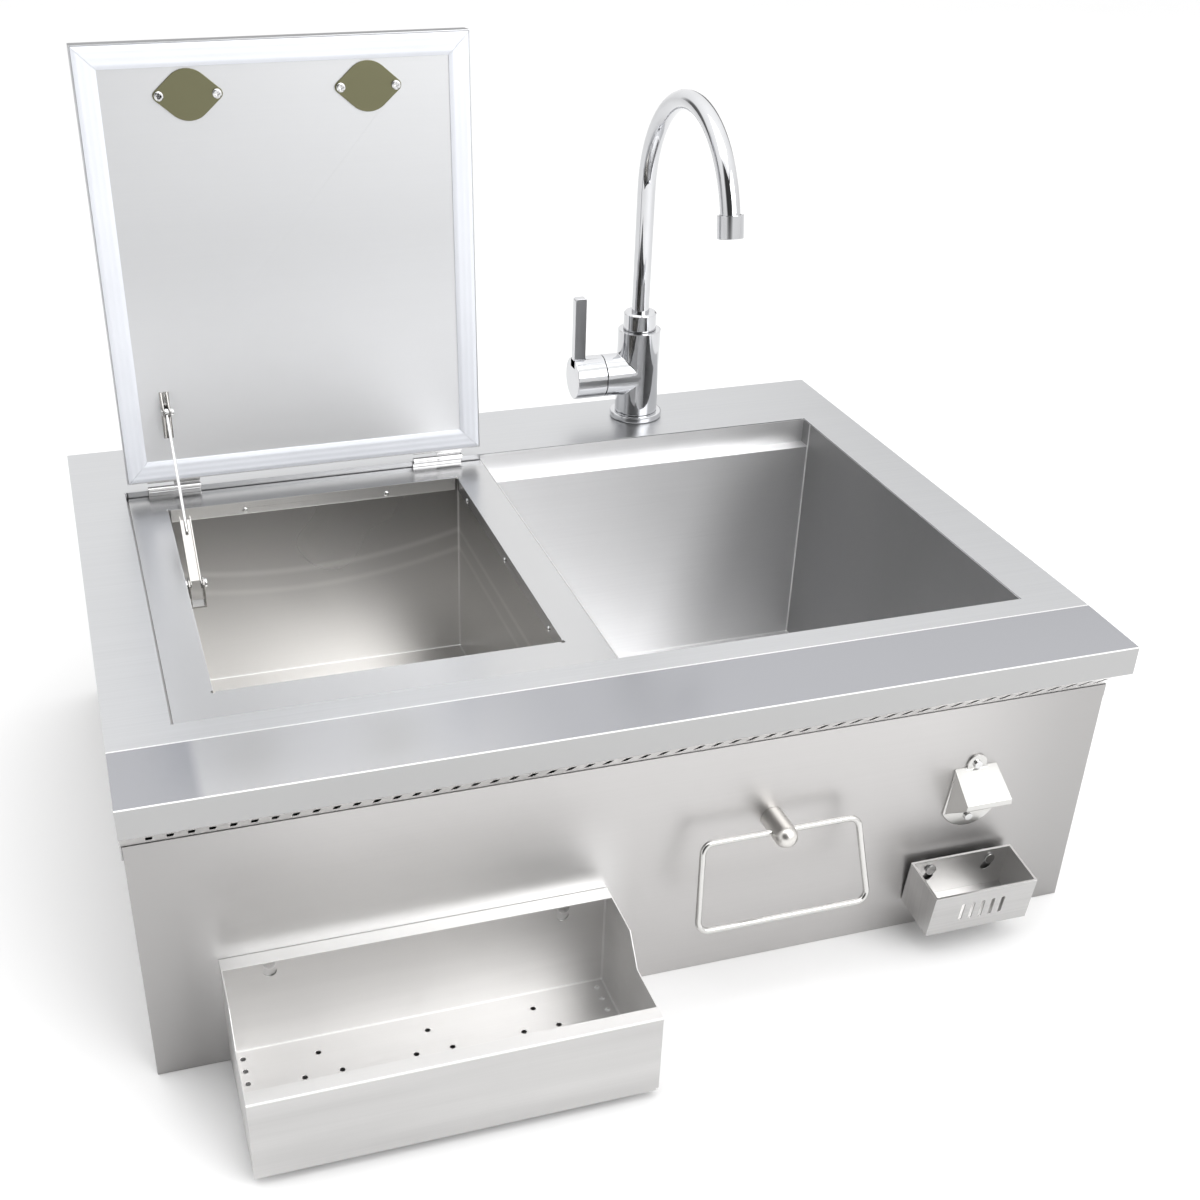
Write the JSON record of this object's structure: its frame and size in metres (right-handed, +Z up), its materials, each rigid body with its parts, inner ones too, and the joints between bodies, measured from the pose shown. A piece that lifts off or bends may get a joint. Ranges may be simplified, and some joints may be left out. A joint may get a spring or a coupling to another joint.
{
  "type": "bar sink with ice bin",
  "caption": "Drop-in steel bar sink with an insulated ice bin under a hinged lid, a gooseneck faucet, and a speed rail, towel ring, bottle opener and cap catcher on its front.",
  "frame": {"origin": "middle of the bounding box's underside, which is the plane that the cabinet stands on", "axes": "+X to the right along the front, +Y from the front to the back, +Z up; the lid is open and the spout points to the front"},
  "size_m": [0.762, 0.6866, 0.6328],
  "materials": {
    "deck_steel": "brushed along the front",
    "panel_steel": "brushed",
    "bowl_steel": "brushed, a little darker",
    "liner_steel": "smooth satin",
    "shell_steel": "mill",
    "lid_steel": "fine brushed",
    "cover_steel": "satin, olive tint",
    "polished_steel": "polished",
    "satin_steel": "satin",
    "screw_steel": "bright",
    "faucet_chrome": "mirror polished",
    "plain_brass": "plain",
    "seal_rubber": "matte",
    "gasket_vinyl": "soft white, matte",
    "foam": "cut foam",
    "valve_plastic": "moulded"
  },
  "bodies": {
    "root": {"deck_top": "deck_steel", "deck_stiffener": "panel_steel", "front_panel": "panel_steel", "left_panel": "panel_steel", "right_panel": "panel_steel", "back_panel": "panel_steel", "sink_bowl": "bowl_steel", "sink_drain_body": "polished_steel", "sink_drain_gasket": "seal_rubber", "sink_drain_nut": "plain_brass", "bin_frame": "deck_steel", "bin_ledge": "panel_steel", "bin_rivets": "screw_steel", "bin_liner": "liner_steel", "bin_insulation": "foam", "bin_shell": "shell_steel", "bin_drain_body": "polished_steel", "bin_drain_nut": "plain_brass", "hinge_fixed_leaves": "polished_steel", "hinge_pins": "screw_steel", "stay_lower_bracket": "polished_steel", "stay_lower_pins": "screw_steel", "faucet_base_ring": "faucet_chrome", "faucet_body": "faucet_chrome", "faucet_shank": "plain_brass", "shank_washer": "seal_rubber", "shank_nut": "plain_brass", "valve_cartridge": "valve_plastic", "opener_plate": "polished_steel", "opener_screws": "screw_steel", "towel_post": "satin_steel", "towel_post_screw": "screw_steel", "rail_hanger_screws": "screw_steel", "catcher_hanger_screws": "screw_steel", "hanger_nuts": "screw_steel"},
    "lid": {"lid_shell": "lid_steel", "lid_core": "foam", "lid_panel": "lid_steel", "lid_gasket": "gasket_vinyl", "lid_cover_plates": "cover_steel", "cover_plate_screws": "screw_steel", "lid_handle": "polished_steel", "handle_screws": "screw_steel", "hinge_lid_leaves": "polished_steel", "stay_upper_bracket": "polished_steel", "stay_upper_pin": "screw_steel"},
    "stay_channel": {"stay_channel": "polished_steel"},
    "stay_rod": {"stay_rod": "polished_steel"},
    "spout": {"faucet_spout": "faucet_chrome", "spout_aerator": "faucet_chrome"},
    "handle": {"handle_cap": "faucet_chrome", "lever_pin": "screw_steel"},
    "lever": {"faucet_lever": "faucet_chrome"},
    "towel_ring": {"towel_ring": "polished_steel"},
    "speed_rail": {"speed_rail": "panel_steel"},
    "cap_catcher": {"cap_catcher": "panel_steel"},
    "drain_strainer": {"drain_strainer": "polished_steel"}
  },
  "joints": [
    {"name": "lid_hinge", "type": "hinge", "parent": "root", "child": "lid", "pos_m": [-0.16875, 0.23905, 0.2605], "axis": [1, 0, 0], "range_deg": [0, 94]},
    {"name": "stay_channel_pivot", "type": "hinge", "parent": "root", "child": "stay_channel", "pos_m": [-0.291, 0.09915, 0.2336], "axis": [1, 0, 0], "range_deg": [-25.8, 0]},
    {"name": "stay_rod_pivot", "type": "hinge", "parent": "lid", "child": "stay_rod", "pos_m": [-0.291, 0.23126, 0.33543], "axis": [1, 0, 0], "range_deg": [-119.8, 0]},
    {"name": "spout_swivel", "type": "hinge", "parent": "root", "child": "spout", "pos_m": [0.1741, 0.29725, 0.3489], "axis": [0, 0, 1], "range_deg": [-55, 180]},
    {"name": "handle_turn", "type": "hinge", "parent": "root", "child": "handle", "pos_m": [0.1366, 0.29725, 0.304], "axis": [1, 0, 0], "range_deg": [-45, 45]},
    {"name": "lever_tilt", "type": "hinge", "parent": "handle", "child": "lever", "pos_m": [0.11185, 0.29725, 0.318], "axis": [0, -1, 0], "range_deg": [0, 25]},
    {"name": "towel_ring_swing", "type": "hinge", "parent": "root", "child": "towel_ring", "pos_m": [0.1, -0.23825, 0.138], "axis": [1, 0, 0], "range_deg": [-75, 27]},
    {"name": "speed_rail_lift", "type": "slide", "parent": "root", "child": "speed_rail", "axis": [0, 0, 1], "range_m": [0, 0.009]},
    {"name": "cap_catcher_lift", "type": "slide", "parent": "root", "child": "cap_catcher", "axis": [0, -0.1271, 0.9919], "range_m": [0, 0.009]},
    {"name": "strainer_lift", "type": "slide", "parent": "root", "child": "drain_strainer", "axis": [0, 0, 1], "range_m": [0, 0.05]}
  ],
  "couplings": [
    {"joint": "stay_channel_pivot", "follows": "lid_hinge", "ratio": -0.27318},
    {"joint": "stay_rod_pivot", "follows": "lid_hinge", "ratio": -1.2732}
  ]
}
